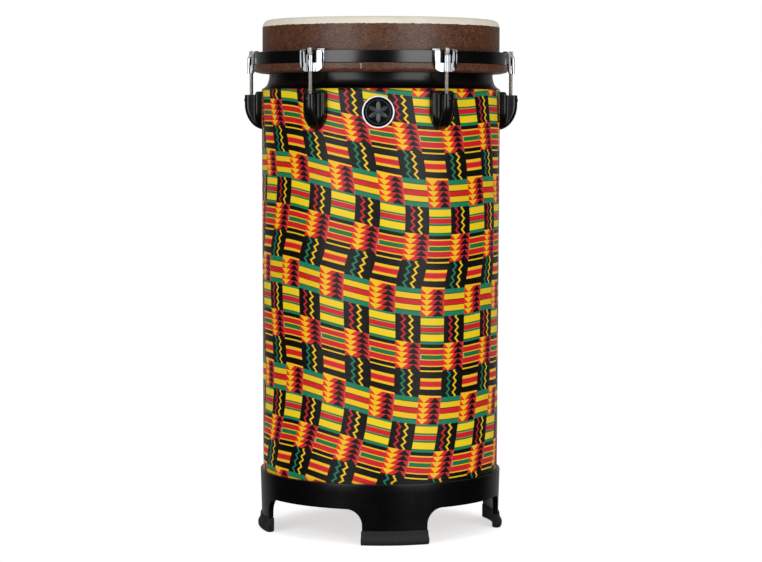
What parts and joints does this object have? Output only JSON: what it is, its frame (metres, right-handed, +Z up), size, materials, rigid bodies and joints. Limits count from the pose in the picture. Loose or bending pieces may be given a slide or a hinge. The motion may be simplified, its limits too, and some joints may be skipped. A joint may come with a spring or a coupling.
{
  "type": "djembe",
  "caption": "Tubular hand drum on a footed base: cloth-wrapped shell, flat synthetic head with brown skirt, counter hoop, claw hooks and tension rods in moulded lugs.",
  "frame": {"origin": "on the floor, at the centre of the drum's axis, level with the soles of the four rubber shoes", "axes": "+Z up along the drum's axis to the playing skin; -Y is the side with the badge; +X to the right of someone who faces the badge"},
  "size_m": [0.3508, 0.324, 0.6495],
  "materials": {
    "shell_board": "raw wood-fibre tube",
    "kente_cloth": "printed strip-weave pattern in red, yellow, green and black on cotton",
    "black_moulding": "black moulded, fine satin texture",
    "black_lug": "black moulded, semi-gloss",
    "cream_film": "cream synthetic drum skin, fine texture",
    "brown_film": "dark brown mottled film, satin",
    "black_enamel": "black powder coat",
    "chrome_plate": "bright chrome plate",
    "zinc_rod": "zinc-plated steel",
    "foot_rubber": "matt black rubber"
  },
  "bodies": {
    "drum": {"shell": "shell_board", "cloth_wrap": "kente_cloth", "bearing_edge_ring": "black_moulding", "base_ring": "black_moulding", "badge_rim": "chrome_plate", "badge_face": "black_enamel", "badge_motif": "chrome_plate", "lug_1": "black_lug", "lug_2": "black_lug", "lug_3": "black_lug", "lug_4": "black_lug", "lug_5": "black_lug", "lug_6": "black_lug", "lug_inserts": "zinc_rod", "lug_screws": "zinc_rod", "lug_washers": "zinc_rod", "foot_shoe_1": "foot_rubber", "foot_shoe_2": "foot_rubber", "foot_shoe_3": "foot_rubber", "foot_shoe_4": "foot_rubber", "base_screws": "zinc_rod"},
    "head": {"head_skin": "cream_film", "head_collar": "brown_film", "flesh_hoop": "brown_film", "counter_hoop": "black_enamel", "hook_1": "chrome_plate", "hook_2": "chrome_plate", "hook_3": "chrome_plate", "hook_4": "chrome_plate", "hook_5": "chrome_plate", "hook_6": "chrome_plate"},
    "rod_1": {"tension_rod_1": "zinc_rod"},
    "rod_2": {"tension_rod_2": "zinc_rod"},
    "rod_3": {"tension_rod_3": "zinc_rod"},
    "rod_4": {"tension_rod_4": "zinc_rod"},
    "rod_5": {"tension_rod_5": "zinc_rod"},
    "rod_6": {"tension_rod_6": "zinc_rod"}
  },
  "joints": [
    {"name": "head_tension", "type": "slide", "parent": "drum", "child": "head", "axis": [0, 0, 1], "range_m": [0, 0.006]},
    {"name": "rod_turn_1", "type": "hinge", "parent": "head", "child": "rod_1", "pos_m": [0.083, -0.14376, 0.604], "axis": [0, 0, 1], "range_deg": [0, 2700]},
    {"name": "rod_turn_2", "type": "hinge", "parent": "head", "child": "rod_2", "pos_m": [0.166, 0, 0.604], "axis": [0, 0, 1], "range_deg": [0, 2700]},
    {"name": "rod_turn_3", "type": "hinge", "parent": "head", "child": "rod_3", "pos_m": [0.083, 0.14376, 0.604], "axis": [0, 0, 1], "range_deg": [0, 2700]},
    {"name": "rod_turn_4", "type": "hinge", "parent": "head", "child": "rod_4", "pos_m": [-0.083, 0.14376, 0.604], "axis": [0, 0, 1], "range_deg": [0, 2700]},
    {"name": "rod_turn_5", "type": "hinge", "parent": "head", "child": "rod_5", "pos_m": [-0.166, 0, 0.604], "axis": [0, 0, 1], "range_deg": [0, 2700]},
    {"name": "rod_turn_6", "type": "hinge", "parent": "head", "child": "rod_6", "pos_m": [-0.083, -0.14376, 0.604], "axis": [0, 0, 1], "range_deg": [0, 2700]}
  ],
  "couplings": [
    {"joint": "rod_turn_1", "follows": "head_tension", "rad_per_m": 7854},
    {"joint": "rod_turn_2", "follows": "head_tension", "rad_per_m": 7854},
    {"joint": "rod_turn_3", "follows": "head_tension", "rad_per_m": 7854},
    {"joint": "rod_turn_4", "follows": "head_tension", "rad_per_m": 7854},
    {"joint": "rod_turn_5", "follows": "head_tension", "rad_per_m": 7854},
    {"joint": "rod_turn_6", "follows": "head_tension", "rad_per_m": 7854}
  ]
}
